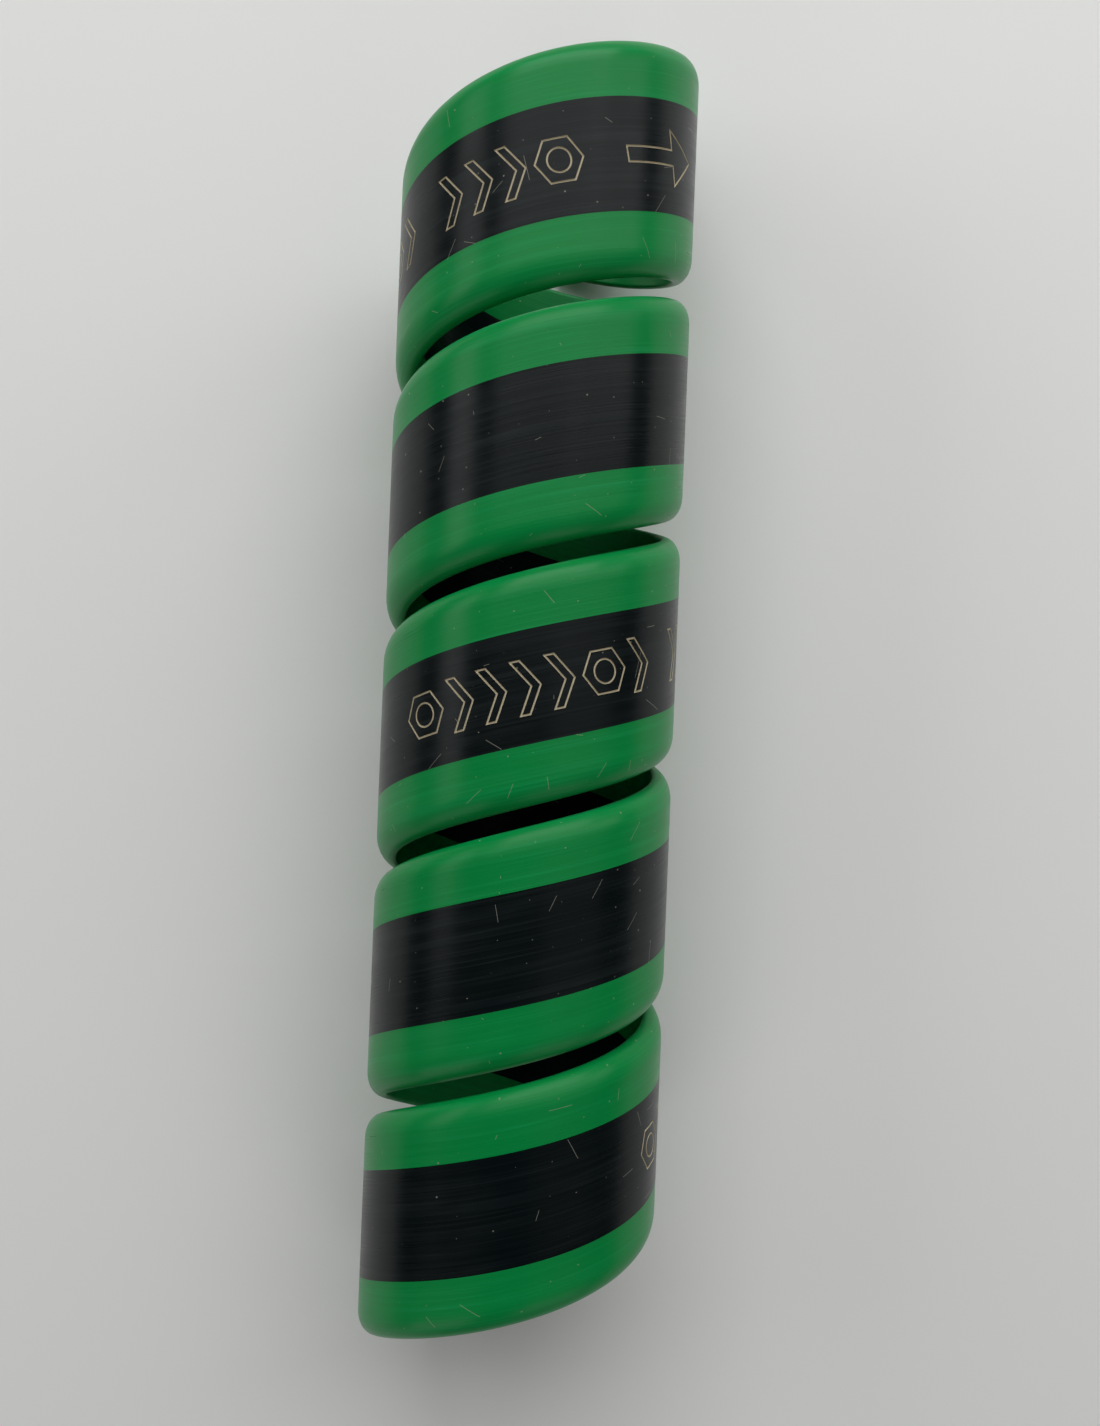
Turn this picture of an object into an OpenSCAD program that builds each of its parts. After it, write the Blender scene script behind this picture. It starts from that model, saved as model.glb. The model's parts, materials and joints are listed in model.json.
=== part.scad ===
// Spiral hose guard: one flexible right-handed helical band, green edge, black centre, green edge.
// It lies on its side: the hose axis is Y, Z is up and the origin is on the axis at mid-length.
// The band is modelled as five lengths, cut at the back of the coil on planes that hold the axis,
// so that each turn can slide along the axis as the coil opens and closes.

/* [Coil] */
// Outside diameter of the coil
outer_d = 63; // [40:1:110]
// Thickness of the band's wall
wall = 4.3; // [3.5:0.1:8]
// Distance along the axis from one turn to the next
pitch = 51; // [51:1:80]
// Winding angle of the whole band: three whole turns and two end turns that are a little shorter
band_angle = 1755; // [1530:9:1755]
// Direction of the band's middle, in degrees from straight up towards +X
mid_angle = 17.5; // [0:0.5:360]

/* [Band] */
// Width of the black centre strip, along the axis
centre_w = 22.7; // [10:0.1:24]
// Width of each green edge strip, along the axis
edge_w = 12.2; // [8:0.1:13]
// Length of the rounded outer corner, along the axis
corner_len = 5.2; // [2:0.1:6]
// Depth of the rounded outer corner, towards the axis
corner_depth = 3.4; // [2:0.1:3.4]

/* [Colours] */
// Colour of the two edge strips
edge_colour = "#00783c"; // ["#00783c":green, "#c8a000":yellow, "#b02020":red]
// Colour of the centre strip
centre_colour = "#16191b"; // ["#16191b":black, "#404448":grey]

/* [Hidden] */

turn_count = 5;
outer_r = outer_d / 2;
bore_r = outer_r - wall;
centre_half = centre_w / 2;
band_half = centre_half + edge_w;

// Cross-sections swept for each full turn
steps = 80;

// Play between the butted ends of two lengths of band
butt_gap = 0.2;

// Turn 1 is at the +Y end; the angles are measured along the band from its middle
function last_angle(turn) = min(band_angle / 2, (turn_count / 2 - turn + 1) * 360);
function first_angle(turn) = max(-band_angle / 2, (turn_count / 2 - turn) * 360);
function length_angle(turn) = last_angle(turn) - first_angle(turn);
function advance(angle) = pitch * angle / 360;

// Half of the angle that a length of band leaves open: none on a whole turn
function run_on(turn) = (360 - length_angle(turn)) / 2;

// A point at winding angle a, radius r and axial offset w from the band's centre line
function on_helix(a, r, w) = [
    r * sin(mid_angle + a),
    advance(a) + w,
    r * cos(mid_angle + a)
];

// The outer corner is a quarter of an ellipse; its first chord is carried out past the outer wall
corner_at = band_half - corner_len;
function corner(t) = [outer_r - corner_depth * (1 - cos(t)), corner_at + corner_len * sin(t)];
first_chord = corner(30) - corner(0);
run_out = (corner_at - centre_half) / 2;

// Each strip's region runs past both walls of the tube that it is cut from
inside = bore_r - 1;
outside = outer_r - run_out * first_chord[0] / first_chord[1];

// Cross-sections as [radius, axial offset] points, anticlockwise
centre_section = [
    [inside, -centre_half],
    [outside, -centre_half],
    [outside, centre_half],
    [inside, centre_half]
];

leading_section = [
    [inside, centre_half],
    [outside, centre_half],
    [outside, corner_at - run_out],
    for (t = [30, 60, 90]) corner(t),
    [inside, band_half]
];
trailing_section = [for (i = [len(leading_section) - 1 : -1 : 0])
    [leading_section[i][0], -leading_section[i][1]]
];

// Sweeps a section along a full turn of the helix, so that both of its ends lie in the slot of the
// tube that it is cut from. The diagonal of each four-sided face runs the other way when slant is true, so
// that a strip's side matches its neighbour's triangle for triangle.
module helical_solid(section, turn, slant) {
    n = len(section);
    points = [for (i = [0 : steps], p = section)
        on_helix(first_angle(turn) - run_on(turn) + i * 360 / steps, p[0], p[1])];
    sides = [for (i = [0 : steps - 1], j = [0 : n - 1])
        let (
            a = i * n + j,
            b = i * n + (j + 1) % n,
            c = b + n,
            d = a + n
        )
        each slant ? [[a, b, d], [b, c, d]] : [[a, b, c], [a, c, d]]
    ];
    near_end = [for (j = [n - 1 : -1 : 0]) j];
    far_end = [for (j = [0 : n - 1]) steps * n + j];
    polyhedron(points, concat(sides, [near_end, far_end]), convexity = 6);
}

// The tube wall that a turn's strips are cut from, with true round faces inside and out. A slot with
// flat sides, which widens outwards on an end turn, parts the two ends of the length of band.
module slotted_tube(turn) {
    low = advance(first_angle(turn)) - band_half - pitch / 2;
    length = advance(length_angle(turn)) + 2 * band_half + pitch;
    slot_reach = 2 * outer_r;
    slot_half = butt_gap / 2 / cos(run_on(turn));
    slot_mouth = slot_half + slot_reach * tan(run_on(turn));
    translate([0, low, 0])
        rotate([0, mid_angle + first_angle(turn) - run_on(turn) - 90, 0])
            rotate([-90, 0, 0])
                difference() {
                    cylinder(h = length, r = outer_r, $fn = 160);
                    translate([0, 0, -1])
                        cylinder(h = length + 2, r = bore_r, $fn = 160);
                    translate([0, 0, -1])
                        linear_extrude(length + 2)
                            polygon([
                                [0, -slot_half],
                                [slot_reach, -slot_mouth],
                                [slot_reach, slot_mouth],
                                [0, slot_half]
                            ]);
                }
}

module leading_edge(turn) {
    color(edge_colour)
        intersection() {
            slotted_tube(turn);
            helical_solid(leading_section, turn, true);
        }
}

module centre_strip(turn) {
    color(centre_colour)
        intersection() {
            slotted_tube(turn);
            helical_solid(centre_section, turn, false);
        }
}

module trailing_edge(turn) {
    color(edge_colour)
        intersection() {
            slotted_tube(turn);
            helical_solid(trailing_section, turn, true);
        }
}

leading_edge(1);  // leading_edge_turn_1
centre_strip(1);  // centre_strip_turn_1
trailing_edge(1);  // trailing_edge_turn_1
leading_edge(2);  // leading_edge_turn_2
centre_strip(2);  // centre_strip_turn_2
trailing_edge(2);  // trailing_edge_turn_2
leading_edge(3);  // leading_edge_turn_3
centre_strip(3);  // centre_strip_turn_3
trailing_edge(3);  // trailing_edge_turn_3
leading_edge(4);  // leading_edge_turn_4
centre_strip(4);  // centre_strip_turn_4
trailing_edge(4);  // trailing_edge_turn_4
leading_edge(5);  // leading_edge_turn_5
centre_strip(5);  // centre_strip_turn_5
trailing_edge(5);  // trailing_edge_turn_5
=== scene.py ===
"""A spiral hose guard lying on its side on a pale floor, seen from straight above.

The guard is one springy band of polyethylene, wound into a right-handed helix round the Y axis:
a black centre strip between two green edge strips. Winding angles are measured along the band
from its middle, and a direction round the axis is measured from straight up towards +X.
The front of every turn rides on that turn's body, and the back between two turns is a fixed length of band.
"""

import json
import math

import bmesh
import bpy
from mathutils import Matrix, Vector


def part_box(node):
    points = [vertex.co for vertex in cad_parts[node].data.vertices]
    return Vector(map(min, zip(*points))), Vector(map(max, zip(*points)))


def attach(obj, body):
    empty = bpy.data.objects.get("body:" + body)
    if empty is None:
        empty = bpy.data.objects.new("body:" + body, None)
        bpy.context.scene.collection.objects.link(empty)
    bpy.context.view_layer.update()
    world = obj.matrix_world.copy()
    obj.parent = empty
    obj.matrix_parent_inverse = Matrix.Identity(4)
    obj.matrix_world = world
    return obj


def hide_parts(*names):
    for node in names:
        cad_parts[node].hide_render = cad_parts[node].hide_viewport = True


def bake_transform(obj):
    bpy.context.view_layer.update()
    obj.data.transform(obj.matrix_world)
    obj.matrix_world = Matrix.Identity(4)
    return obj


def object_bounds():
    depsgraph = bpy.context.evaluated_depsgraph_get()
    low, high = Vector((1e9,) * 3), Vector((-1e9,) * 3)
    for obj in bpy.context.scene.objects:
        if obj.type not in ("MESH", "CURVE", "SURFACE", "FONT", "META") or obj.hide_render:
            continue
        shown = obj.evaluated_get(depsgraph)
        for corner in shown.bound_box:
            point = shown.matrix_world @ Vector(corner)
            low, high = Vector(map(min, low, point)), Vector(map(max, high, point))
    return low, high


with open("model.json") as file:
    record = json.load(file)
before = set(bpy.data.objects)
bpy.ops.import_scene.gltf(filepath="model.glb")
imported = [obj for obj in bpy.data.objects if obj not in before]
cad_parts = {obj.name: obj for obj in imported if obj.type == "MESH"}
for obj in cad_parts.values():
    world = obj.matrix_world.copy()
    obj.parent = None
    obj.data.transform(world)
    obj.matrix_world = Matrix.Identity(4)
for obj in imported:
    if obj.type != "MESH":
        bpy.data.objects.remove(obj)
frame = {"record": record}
cad_low, cad_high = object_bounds()

MM = 0.001
TURNS = 5

# Winding, in degrees: the angle of the band's two ends, and where its middle points
BAND_END = 877.5
MIDDLE = 17.5
# The front of a turn reaches this far to each side of straight up, just out of sight from above
FRONT_REACH = 94.0
RING_STEP = 1.0

OUTER_R = cad_high.x
BORE_R = frame["record"]["mounts"][0]["dims"]["r_mm"] * MM


def middle_of(node):
    low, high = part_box(node)
    return (low + high) / 2


PITCH = middle_of("centre_strip_turn_2").y - middle_of("centre_strip_turn_3").y
SLOPE = math.atan2(PITCH, 2 * math.pi * OUTER_R)

CENTRE_HALF = 22.7 * MM / 2
BAND_HALF = CENTRE_HALF + 12.2 * MM
# The rounded outer corner of an edge strip: its length along the axis and its depth
CORNER_LEN = 5.2 * MM
CORNER_DEPTH = 3.4 * MM
CORNER_STEPS = 9
INNER_ROUND = 0.7 * MM
INNER_STEPS = 4
# An extra line this far inside a flat face keeps the shading of the face flat
HOLD_LINE = 0.25 * MM


# ---------------------------------------------------------------- small tools

def add(tree, kind, sockets=None, **settings):
    """Adds a node, sets it, and gives each named socket its value or its link."""
    node = tree.nodes.new(kind)
    for name, value in settings.items():
        setattr(node, name, value)
    for key, value in (sockets or {}).items():
        if isinstance(value, bpy.types.NodeSocket):
            tree.links.new(value, node.inputs[key])
        else:
            node.inputs[key].default_value = value
    return node


def linear(hex_colour):
    """An sRGB hex colour as linear red, green, blue and alpha."""
    channels = [int(hex_colour[i:i + 2], 16) / 255 for i in (1, 3, 5)]
    return [c / 12.92 if c <= 0.04045 else ((c + 0.055) / 1.055) ** 2.4 for c in channels] + [1.0]


def mesh_object(name, points, edges, faces):
    mesh = bpy.data.meshes.new(name)
    mesh.from_pydata(points, edges, faces)
    made = bpy.data.objects.new(name, mesh)
    bpy.context.scene.collection.objects.link(made)
    return made


def made_plain(obj):
    """Turns an object's modifiers into its plain mesh."""
    evaluated = obj.evaluated_get(bpy.context.evaluated_depsgraph_get())
    plain = bpy.data.meshes.new_from_object(evaluated)
    obj.modifiers.clear()
    old = obj.data
    obj.data = plain
    plain.name = obj.name
    bpy.data.meshes.remove(old)


# ---------------------------------------------------------------- camera

# Straight down from about ten coil radii, turned a little, so that the coil leans to the right
CAMERA_HEIGHT = 300.4 * MM
CAMERA_Y = -26.8 * MM
CAMERA_LEAN = 0.0397


def make_camera():
    data = bpy.data.cameras.new("camera")
    data.sensor_width = 36
    data.lens = 34.96
    data.shift_x = 0.0183
    data.shift_y = 0.0692
    data.clip_start = 0.01
    data.clip_end = 20
    camera = bpy.data.objects.new("camera", data)
    camera.location = (0, CAMERA_Y, CAMERA_HEIGHT)
    camera.rotation_euler = (0, 0, CAMERA_LEAN)
    bpy.context.scene.collection.objects.link(camera)
    bpy.context.scene.camera = camera


make_camera()


# ---------------------------------------------------------------- materials

# Height of the turning lines
RELIEF = 0.022 * MM
# How far rubbing and the turning lines change the roughness, each way
SHEEN_CHANGE = 0.04
# Side, in mm, of the squares of band that scratches are scattered over. In such squares: half the
# length of the longest scratch, half the width of its core and of its faint edge
SCRATCH_SQUARE = 9
SCRATCH_REACH = 0.3
SCRATCH_CORE = 0.003
SCRATCH_EDGE = 0.008
# Side, in mm, of the squares that dust is scattered over, and the largest grain's radius in them
DUST_SQUARE = 6
DUST_SIZE = 0.032
DUST_COLOUR = "#a9a797"


def per_mm(along, across):
    """A pattern scale on the band's own coordinates, with one unit for each of these lengths."""
    return (1 / (along * MM), 1 / (across * MM), 1 / (across * MM))


def turned_polyethylene(name, colour, worn_colour, roughness):
    """High-density polyethylene, coloured right through and turned on a lathe. To the eye it is waxy,
    with fine turning lines along the band, paler where they are rubbed, rare hairline scratches and
    grains of pale dust."""
    material = bpy.data.materials.new(name)
    material.use_nodes = True
    tree = material.node_tree
    shader = tree.nodes["Principled BSDF"]
    shader.inputs["IOR"].default_value = 1.54
    # The turned face is finely rubbed, so it shines less than a moulded one
    shader.inputs["Specular IOR Level"].default_value = 0.2
    # Its highlights are drawn out across the turning lines
    shader.inputs["Anisotropic"].default_value = 0.5
    shader.inputs["Anisotropic Rotation"].default_value = 0.25
    tangent = add(tree, "ShaderNodeTangent", direction_type="RADIAL", axis="Y").outputs[0]
    tree.links.new(tangent, shader.inputs["Tangent"])
    band = add(tree, "ShaderNodeAttribute", attribute_name="band").outputs["Vector"]

    # Turning lines are 0.2 to 0.3 mm apart and centimetres long; drawn at 0.42 mm so that they show
    patterns = (("lines", 50, 0.42), ("bands", 110, 1.7), ("patches", 22, 9))
    noise = {}
    for pattern, along, across in patterns:
        place = add(tree, "ShaderNodeMapping", {"Vector": band, "Scale": per_mm(along, across)}).outputs[0]
        noise[pattern] = add(tree, "ShaderNodeTexNoise", {
            "Vector": place, "Scale": 1.0, "Detail": 2.0, "Roughness": 0.6}).outputs["Fac"]

    line_wear = add(tree, "ShaderNodeMapRange", {
        "Value": noise["lines"], "From Min": 0.5, "From Max": 0.72}).outputs[0]
    band_wear = add(tree, "ShaderNodeMapRange", {
        "Value": noise["bands"], "From Min": 0.52, "From Max": 0.7}).outputs[0]
    patch_wear = add(tree, "ShaderNodeMapRange", {
        "Value": noise["patches"], "From Min": 0.35, "From Max": 0.65,
        "To Min": 0.14, "To Max": 0.42}).outputs[0]
    both = add(tree, "ShaderNodeMath", {0: line_wear, 1: band_wear}, operation="ADD").outputs[0]
    worn = add(tree, "ShaderNodeMath", {0: both, 1: patch_wear}, operation="MULTIPLY").outputs[0]
    face = add(tree, "ShaderNodeMix", {
        0: worn, 6: linear(colour), 7: linear(worn_colour)}, data_type="RGBA").outputs[2]

    # Some squares of band have one straight hairline scratch, turned at random. A real one is under
    # 0.1 mm wide and is drawn a little wider, so that it shows
    square_place = add(tree, "ShaderNodeMapping", {
        "Vector": band, "Scale": per_mm(SCRATCH_SQUARE, SCRATCH_SQUARE)}).outputs[0]
    square = add(tree, "ShaderNodeTexVoronoi", {"Vector": square_place, "Scale": 1.0},
                 voronoi_dimensions="2D").outputs
    luck = add(tree, "ShaderNodeSeparateColor", {0: square["Color"]}).outputs
    from_middle = add(tree, "ShaderNodeVectorMath", {0: square_place, 1: square["Position"]},
                      operation="SUBTRACT").outputs[0]
    heading = add(tree, "ShaderNodeMath", {0: luck[0], 1: math.pi}, operation="MULTIPLY").outputs[0]
    swung = add(tree, "ShaderNodeVectorRotate", {"Vector": from_middle, "Angle": heading},
                rotation_type="Z_AXIS").outputs[0]
    lengthways, sideways, _ = add(tree, "ShaderNodeSeparateXYZ", {0: swung}).outputs
    off_line = add(tree, "ShaderNodeMath", {0: sideways}, operation="ABSOLUTE").outputs[0]
    hairline = add(tree, "ShaderNodeMapRange", {
        "Value": off_line, "From Min": SCRATCH_CORE, "From Max": SCRATCH_EDGE,
        "To Min": 0.5, "To Max": 0.0}).outputs[0]
    along_line = add(tree, "ShaderNodeMath", {0: lengthways}, operation="ABSOLUTE").outputs[0]
    reach = add(tree, "ShaderNodeMapRange", {
        "Value": luck[1], "From Min": 0.6, "To Min": 0.0, "To Max": SCRATCH_REACH}).outputs[0]
    within = add(tree, "ShaderNodeMath", {0: along_line, 1: reach}, operation="LESS_THAN").outputs[0]
    scratch = add(tree, "ShaderNodeMath", {0: hairline, 1: within}, operation="MULTIPLY").outputs[0]

    # At most one grain of dust in each square of band, up to 0.4 mm across
    cell_place = add(tree, "ShaderNodeMapping", {
        "Vector": band, "Scale": per_mm(DUST_SQUARE, DUST_SQUARE)}).outputs[0]
    cell = add(tree, "ShaderNodeTexVoronoi", {"Vector": cell_place, "Scale": 1.0},
               voronoi_dimensions="2D").outputs
    chance = add(tree, "ShaderNodeSeparateColor", {0: cell["Color"]}).outputs
    size = add(tree, "ShaderNodeMapRange", {
        "Value": chance[0], "From Min": 0.35, "To Min": 0.0, "To Max": DUST_SIZE}).outputs[0]
    inside = add(tree, "ShaderNodeMath", {0: cell["Distance"], 1: size}, operation="LESS_THAN").outputs[0]
    paleness = add(tree, "ShaderNodeMapRange", {
        "Value": chance[1], "To Min": 0.1, "To Max": 0.6}).outputs[0]
    grain = add(tree, "ShaderNodeMath", {0: inside, 1: paleness}, operation="MULTIPLY").outputs[0]
    mark = add(tree, "ShaderNodeMath", {0: scratch, 1: grain}, operation="MAXIMUM").outputs[0]
    marked = add(tree, "ShaderNodeMix", {
        0: mark, 6: face, 7: linear(DUST_COLOUR)}, data_type="RGBA").outputs[2]
    tree.links.new(marked, shader.inputs["Base Color"])

    patch_sheen = add(tree, "ShaderNodeMapRange", {
        "Value": noise["patches"], "From Min": 0.3, "From Max": 0.7,
        "To Min": roughness - SHEEN_CHANGE, "To Max": roughness + SHEEN_CHANGE}).outputs[0]
    line_sheen = add(tree, "ShaderNodeMapRange", {
        "Value": noise["lines"], "From Min": 0.3, "From Max": 0.7,
        "To Min": -SHEEN_CHANGE, "To Max": SHEEN_CHANGE}).outputs[0]
    sheen = add(tree, "ShaderNodeMath", {0: patch_sheen, 1: line_sheen}, operation="ADD").outputs[0]
    tree.links.new(sheen, shader.inputs["Roughness"])

    relief = add(tree, "ShaderNodeMath", {0: noise["lines"], 1: noise["bands"]}, operation="ADD").outputs[0]
    bump = add(tree, "ShaderNodeBump", {"Height": relief, "Strength": 1.0, "Distance": RELIEF}).outputs[0]
    tree.links.new(bump, shader.inputs["Normal"])
    return material


GREEN = turned_polyethylene("green_turned_polyethylene", "#00863e", "#109c56", 0.34)
BLACK = turned_polyethylene("black_turned_polyethylene", "#030c0e", "#1e2628", 0.31)


def engraved_line():
    """Where the marking cutter has broken the surface: a pale, rough, matt scar."""
    material = bpy.data.materials.new("engraved_line")
    material.use_nodes = True
    shader = material.node_tree.nodes["Principled BSDF"]
    shader.inputs["Base Color"].default_value = linear("#cfc5ab")
    shader.inputs["Roughness"].default_value = 0.8
    return material


SCRAPED = engraved_line()


# ---------------------------------------------------------------- the band's outline

def arc(centre, radii, first, last, steps):
    """Points on an ellipse's arc, as (axial offset, radius)."""
    angles = [math.radians(first + (last - first) * i / steps) for i in range(steps + 1)]
    return [(centre[0] + radii[0] * math.cos(t), centre[1] + radii[1] * math.sin(t)) for t in angles]


def leading_outline():
    """The section of the leading edge strip, anticlockwise from its bonded inner corner."""
    inner_corner = arc((BAND_HALF - INNER_ROUND, BORE_R + INNER_ROUND), (INNER_ROUND, INNER_ROUND),
                       -90, 0, INNER_STEPS)
    outer_corner = arc((BAND_HALF - CORNER_LEN, OUTER_R - CORNER_DEPTH), (CORNER_LEN, CORNER_DEPTH),
                       0, 90, CORNER_STEPS)
    return [
        (CENTRE_HALF, BORE_R),
        (BAND_HALF - INNER_ROUND - HOLD_LINE, BORE_R),
        *inner_corner,
        *outer_corner,
        (BAND_HALF - CORNER_LEN - HOLD_LINE, OUTER_R),
        (CENTRE_HALF, OUTER_R),
    ]


def trailing_outline():
    return [(-offset, radius) for offset, radius in reversed(leading_outline())]


def centre_outline():
    return [(-CENTRE_HALF, BORE_R), (CENTRE_HALF, BORE_R), (CENTRE_HALF, OUTER_R), (-CENTRE_HALF, OUTER_R)]


# ---------------------------------------------------------------- the helix

def helical_band_tree():
    """Sweeps an outline straight up Z, where height is the winding angle, then winds it round Y."""
    tree = bpy.data.node_groups.new("helical_band", "GeometryNodeTree")
    sockets = (("Outline", "Geometry"), ("Start Angle", "Float"), ("End Angle", "Float"),
               ("Ring Step", "Float"), ("Pitch", "Float"), ("Middle Angle", "Float"),
               ("Finish", "Material"))
    for name, kind in sockets:
        tree.interface.new_socket(name, in_out="INPUT", socket_type="NodeSocket" + kind)
    tree.interface.new_socket("Band", in_out="OUTPUT", socket_type="NodeSocketGeometry")
    given = tree.nodes.new("NodeGroupInput").outputs

    outline = add(tree, "GeometryNodeMeshToCurve", {"Mesh": given["Outline"]}).outputs[0]
    start = add(tree, "ShaderNodeCombineXYZ", {"Z": given["Start Angle"]}).outputs[0]
    end = add(tree, "ShaderNodeCombineXYZ", {"Z": given["End Angle"]}).outputs[0]
    line = add(tree, "GeometryNodeCurvePrimitiveLine", {"Start": start, "End": end}).outputs[0]
    turned = add(tree, "ShaderNodeMath", {0: given["End Angle"], 1: given["Start Angle"]},
                 operation="SUBTRACT").outputs[0]
    steps = add(tree, "ShaderNodeMath", {0: turned, 1: given["Ring Step"]}, operation="DIVIDE").outputs[0]
    whole_steps = add(tree, "ShaderNodeMath", {0: steps}, operation="CEIL").outputs[0]
    rings = add(tree, "ShaderNodeMath", {0: whole_steps, 1: 1.0}, operation="ADD").outputs[0]
    path = add(tree, "GeometryNodeResampleCurve", {"Curve": line, "Count": rings}).outputs[0]
    bar = add(tree, "GeometryNodeCurveToMesh",
              {"Curve": path, "Profile Curve": outline, "Fill Caps": True}).outputs[0]
    position = add(tree, "GeometryNodeInputPosition").outputs[0]
    place = add(tree, "ShaderNodeSeparateXYZ", {0: position}).outputs
    angle = add(tree, "ShaderNodeMath", {0: place["Z"], 1: given["Middle Angle"]},
                operation="ADD").outputs[0]
    rise = add(tree, "ShaderNodeMath", {0: given["Pitch"], 1: math.tau}, operation="DIVIDE").outputs[0]
    sine = add(tree, "ShaderNodeMath", {0: angle}, operation="SINE").outputs[0]
    cosine = add(tree, "ShaderNodeMath", {0: angle}, operation="COSINE").outputs[0]
    sideways = add(tree, "ShaderNodeMath", {0: place["Y"], 1: sine}, operation="MULTIPLY").outputs[0]
    upwards = add(tree, "ShaderNodeMath", {0: place["Y"], 1: cosine}, operation="MULTIPLY").outputs[0]
    axial = add(tree, "ShaderNodeMath", {0: place["Z"], 1: rise, 2: place["X"]},
                operation="MULTIPLY_ADD").outputs[0]
    wound = add(tree, "ShaderNodeCombineXYZ", {"X": sideways, "Y": axial, "Z": upwards}).outputs[0]
    band = add(tree, "GeometryNodeSetPosition", {"Geometry": bar, "Position": wound}).outputs[0]
    real = add(tree, "GeometryNodeRealizeInstances", {"Geometry": band}).outputs[0]
    coloured = add(tree, "GeometryNodeSetMaterial",
                   {"Geometry": real, "Material": given["Finish"]}).outputs[0]
    add(tree, "NodeGroupOutput", {"Band": coloured})
    return tree


HELICAL_BAND = helical_band_tree()


def facing_out(mesh):
    work = bmesh.new()
    work.from_mesh(mesh)
    if work.calc_volume(signed=True) < 0:
        bmesh.ops.reverse_faces(work, faces=work.faces)
    work.to_mesh(mesh)
    work.free()


def winding_angle(point, start, end):
    """The winding angle, in radians, of a point on the length of band between two angles."""
    bearing = math.atan2(point.x, point.z) - math.radians(MIDDLE)
    halfway = math.radians((start + end) / 2)
    return halfway + (bearing - halfway + math.pi) % math.tau - math.pi


def band_coordinates(mesh, start, end):
    """Stores each point's distance along the band, its axial offset and its radius as "band"."""
    values = []
    for vertex in mesh.vertices:
        turned = winding_angle(vertex.co, start, end)
        radius = math.hypot(vertex.co.x, vertex.co.z)
        values += (turned * OUTER_R, vertex.co.y - turned * PITCH / math.tau, radius)
    attribute = mesh.attributes.new("band", "FLOAT_VECTOR", "POINT")
    attribute.data.foreach_set("vector", values)


def length_of_band(name, outline, start, end, finish):
    """One strip of the band between two winding angles, in degrees."""
    points = [(x, y, 0) for x, y in outline]
    loop = [(i, (i + 1) % len(points)) for i in range(len(points))]
    piece = mesh_object(name, points, loop, [])
    modifier = piece.modifiers.new("helix", "NODES")
    modifier.node_group = HELICAL_BAND
    wanted = {"Start Angle": math.radians(start), "End Angle": math.radians(end),
              "Ring Step": math.radians(RING_STEP), "Pitch": PITCH,
              "Middle Angle": math.radians(MIDDLE), "Finish": finish}
    for socket in HELICAL_BAND.interface.items_tree:
        if socket.name in wanted:
            modifier[socket.identifier] = wanted[socket.name]
    made_plain(piece)
    facing_out(piece.data)
    return piece


# ---------------------------------------------------------------- engraved marks

LINE_WIDTH = 0.36 * MM
LINE_DEPTH = 0.22 * MM
MARK_HEIGHT = 10.6 * MM
# Room that each kind of mark takes along a row: a nut, a chevron and a space
MARK_ROOM = {"n": 11.6 * MM, ">": 6.9 * MM, " ": 8.0 * MM}
# Winding angle where one row of marks starts, and the angle from one row to the next
FIRST_ROW = -67.0
ROW_ANGLE = 612.0
NUT_RADIUS = 4.9 * MM
NUT_HOLE_RADIUS = 2.4 * MM


def regular(centre_x, radius, sides):
    """A hexagon, or with many sides a circle."""
    turns = [math.tau * i / sides for i in range(sides)]
    return [(centre_x + radius * math.cos(turn), radius * math.sin(turn)) for turn in turns]


def chevron(left):
    """A chevron that points along the band."""
    half = MARK_HEIGHT / 2
    thick = 1.9 * MM
    lean = 3.2 * MM
    return [(left, half), (left + thick, half), (left + thick + lean, 0), (left + thick, -half),
            (left, -half), (left + lean, 0)]


def arrow(left):
    shaft, head, half_shaft, half_head = 13 * MM, 8 * MM, 1.5 * MM, MARK_HEIGHT / 2
    return [(left, half_shaft), (left + shaft, half_shaft), (left + shaft, half_head),
            (left + shaft + head, 0), (left + shaft, -half_head), (left + shaft, -half_shaft),
            (left, -half_shaft)]


def row_of_marks():
    """Closed outlines, as (distance along the band, distance across it) from the row's start."""
    outlines = []
    left = 0.0
    for kind in "n>>>>n> >>>n ":
        if kind == "n":
            middle = left + NUT_RADIUS
            outlines += [regular(middle, NUT_RADIUS, 6), regular(middle, NUT_HOLE_RADIUS, 28)]
        elif kind == ">":
            outlines.append(chevron(left))
        left += MARK_ROOM[kind]
    return [*outlines, arrow(left)]


def divided(outline, longest=1.2 * MM):
    """The outline with its long sides divided, so that a line on it follows the curve of the band."""
    points = []
    for here, there in zip(outline, outline[1:] + outline[:1]):
        parts = max(1, math.ceil(math.dist(here, there) / longest))
        points += [(here[0] + (there[0] - here[0]) * i / parts, here[1] + (there[1] - here[1]) * i / parts)
                   for i in range(parts)]
    return points


def set_off(points, distance):
    """The closed outline moved sideways, with mitred corners."""
    moved = []
    count = len(points)
    for i in range(count):
        before, here, after = (Vector(points[j % count]) for j in (i - 1, i, i + 1))
        first = (here - before).normalized()
        second = (after - here).normalized()
        mitre = Vector((first.y + second.y, -first.x - second.x))
        mitre /= 1 + first.dot(second)
        moved.append(here + mitre * distance)
    return moved


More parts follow.
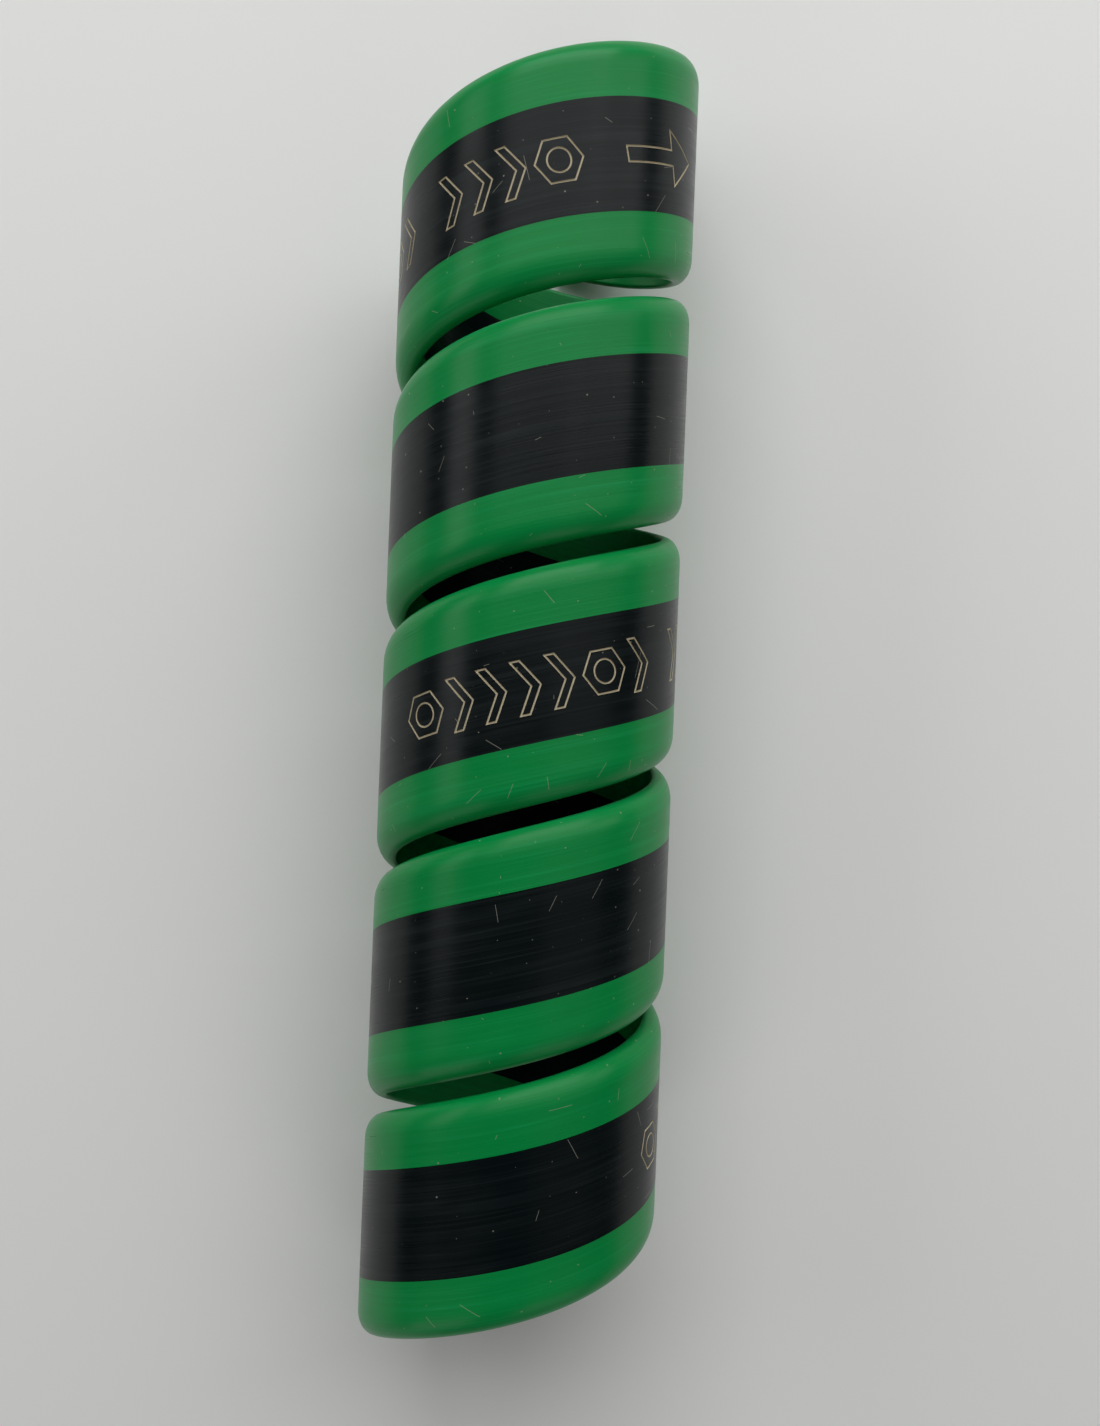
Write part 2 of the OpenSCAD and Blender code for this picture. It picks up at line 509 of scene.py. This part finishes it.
def groove_cutter(outline, start):
    """A closed ring, LINE_WIDTH wide, that follows an outline drawn on the band's outer face."""
    points = divided(outline)
    rings = []
    side, floor, above = LINE_WIDTH / 2, OUTER_R - LINE_DEPTH, OUTER_R + LINE_DEPTH
    for distance, radius in ((-side, floor), (side, floor), (side, above), (-side, above)):
        ring = []
        for along, across in set_off(points, distance):
            turned = math.radians(start) + (along * math.cos(SLOPE) - across * math.sin(SLOPE)) / OUTER_R
            bearing = turned + math.radians(MIDDLE)
            offset = across / math.cos(SLOPE)
            ring.append((radius * math.sin(bearing), PITCH * turned / math.tau + offset,
                         radius * math.cos(bearing)))
        rings.append(ring)
    count = len(points)
    faces = [(k * count + i, k * count + (i + 1) % count, (k + 1) % 4 * count + (i + 1) % count,
              (k + 1) % 4 * count + i) for k in range(4) for i in range(count)]
    return sum(rings, []), faces


def winding_angle_at(point):
    """Roughly the winding angle of a point, in degrees, from its place along the axis alone."""
    return point[1] * 360 / PITCH


def marks_cutter():
    """Every mark on the band, as one object of separate closed rings."""
    # Marks that lie well past both ends of the band are left out
    furthest = BAND_END + 60
    points, faces = [], []
    for row in range(-2, 3):
        start = FIRST_ROW + row * ROW_ANGLE
        for outline in row_of_marks():
            ring_points, ring_faces = groove_cutter(outline, start)
            if max(abs(winding_angle_at(point)) for point in ring_points) > furthest:
                continue
            base = len(points)
            points += ring_points
            faces += [tuple(base + i for i in face) for face in ring_faces]
    cutter = mesh_object("marks_cutter", points, [], faces)
    work = bmesh.new()
    work.from_mesh(cutter.data)
    bmesh.ops.recalc_face_normals(work, faces=work.faces)
    work.to_mesh(cutter.data)
    work.free()
    return cutter


def engrave(piece, cutter, start, end):
    """Cuts the marks into a length of the centre strip and gives the grooves the scraped finish."""
    modifier = piece.modifiers.new("marks", "BOOLEAN")
    modifier.operation = "DIFFERENCE"
    modifier.solver = "MANIFOLD"
    modifier.object = cutter
    made_plain(piece)
    mesh = piece.data
    mesh.materials.clear()
    mesh.materials.append(BLACK)
    mesh.materials.append(SCRAPED)
    for face in mesh.polygons:
        radius = math.hypot(face.center.x, face.center.z)
        turned = winding_angle(face.center, start, end)
        offset = face.center.y - turned * PITCH / math.tau
        sunk = OUTER_R - 1.2 * LINE_DEPTH < radius < OUTER_R - 0.1 * LINE_DEPTH
        face.material_index = int(sunk and abs(offset) < CENTRE_HALF - LINE_DEPTH)


# ---------------------------------------------------------------- pieces

def front_of(turn):
    """The winding angle at which a turn faces straight up."""
    return (TURNS + 1) / 2 * 360 - turn * 360 - MIDDLE


def finish_piece(piece, start, end):
    band_coordinates(piece.data, start, end)
    piece.data.shade_smooth()
    piece.data.set_sharp_from_angle(angle=math.radians(35))


STRIPS = (
    ("leading_edge", leading_outline(), GREEN, "edge_green"),
    ("centre_strip", centre_outline(), BLACK, "centre_black"),
    ("trailing_edge", trailing_outline(), GREEN, "edge_green"),
)


def make_band():
    cutter = marks_cutter()
    for strip, outline, finish, slot in STRIPS:
        for turn in range(1, TURNS + 1):
            start = -BAND_END if turn == TURNS else front_of(turn) - FRONT_REACH
            end = BAND_END if turn == 1 else front_of(turn) + FRONT_REACH
            piece = length_of_band(f"{strip}_front_{turn}", outline, start, end, finish)
            if strip == "centre_strip":
                engrave(piece, cutter, start, end)
            finish_piece(piece, start, end)
            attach(piece, f"turn_{turn}")
            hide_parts(f"{strip}_turn_{turn}")
        for turn in range(1, TURNS):
            start = front_of(turn + 1) + FRONT_REACH
            end = front_of(turn) - FRONT_REACH
            piece = length_of_band(f"{strip}_back_{turn}_{turn + 1}", outline, start, end, finish)
            if strip == "centre_strip":
                engrave(piece, cutter, start, end)
            finish_piece(piece, start, end)
            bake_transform(piece)
            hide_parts(f"{strip}_turn_{turn}", f"{strip}_turn_{turn + 1}")
    bpy.data.objects.remove(cutter)


make_band()


# ---------------------------------------------------------------- floor and light

def make_floor():
    half = 0.9
    floor = mesh_object("floor", [(-half, -half, 0), (half, -half, 0), (half, half, 0), (-half, half, 0)],
                        [], [(0, 1, 2, 3)])
    floor.location.z = cad_low.z
    material = bpy.data.materials.new("pale_floor")
    material.use_nodes = True
    shader = material.node_tree.nodes["Principled BSDF"]
    shader.inputs["Base Color"].default_value = linear("#f4f4f2")
    shader.inputs["Roughness"].default_value = 0.9
    floor.data.materials.append(material)


LAMP_DISTANCE = 1.2


def soft_box(name, side, forward, radiance, width, height):
    """A soft box aimed at the coil: side is its angle round the coil's axis, from straight up towards
    +X, and forward its angle from there towards +Y. Its width runs round the axis."""
    round_axis, along_axis = math.radians(side), math.radians(forward)
    across = Vector((math.cos(round_axis), 0, -math.sin(round_axis)))
    away = Vector((math.sin(round_axis) * math.cos(along_axis), math.sin(along_axis),
                   math.cos(round_axis) * math.cos(along_axis)))
    data = bpy.data.lights.new(name, "AREA")
    data.shape = "RECTANGLE"
    data.size = width
    data.size_y = height
    data.energy = radiance * math.pi * width * height
    lamp = bpy.data.objects.new(name, data)
    lamp.location = LAMP_DISTANCE * away
    lamp.rotation_euler = Matrix((across, away.cross(across), away)).transposed().to_euler()
    bpy.context.scene.collection.objects.link(lamp)


# The room is dim, so that the plastic stays deep in colour, but the backdrop itself is pale
DIM_ROOM = 0.03
PALE_BACKDROP = 0.75


def make_light():
    world = bpy.data.worlds.new("studio")
    world.use_nodes = True
    tree = world.node_tree
    seen = add(tree, "ShaderNodeLightPath").outputs["Is Camera Ray"]
    strength = add(tree, "ShaderNodeMapRange", {"Value": seen, "To Min": DIM_ROOM, "To Max": PALE_BACKDROP})
    background = tree.nodes["Background"]
    background.inputs["Color"].default_value = (1, 1, 1, 1)
    tree.links.new(strength.outputs["Result"], background.inputs["Strength"])
    bpy.context.scene.world = world
    soft_box("head_box", 4, 58, 3.8, width=1.2, height=0.5)
    soft_box("overhead_box", 0, 30, 1.65, width=1.5, height=0.5)
    soft_box("right_box", 55, 30, 1.8, width=0.75, height=0.5)
    soft_box("window_box", -60, 18, 1.9, width=0.4, height=1.0)
    soft_box("low_right_box", 40, 2, 0.3, width=1.0, height=0.5)
    soft_box("foot_left_box", -50, -50, 1.15, width=0.84, height=0.5)
    soft_box("foot_right_box", 50, -50, 0.95, width=0.84, height=0.5)


make_floor()
make_light()
bpy.context.scene.view_settings.view_transform = "Standard"
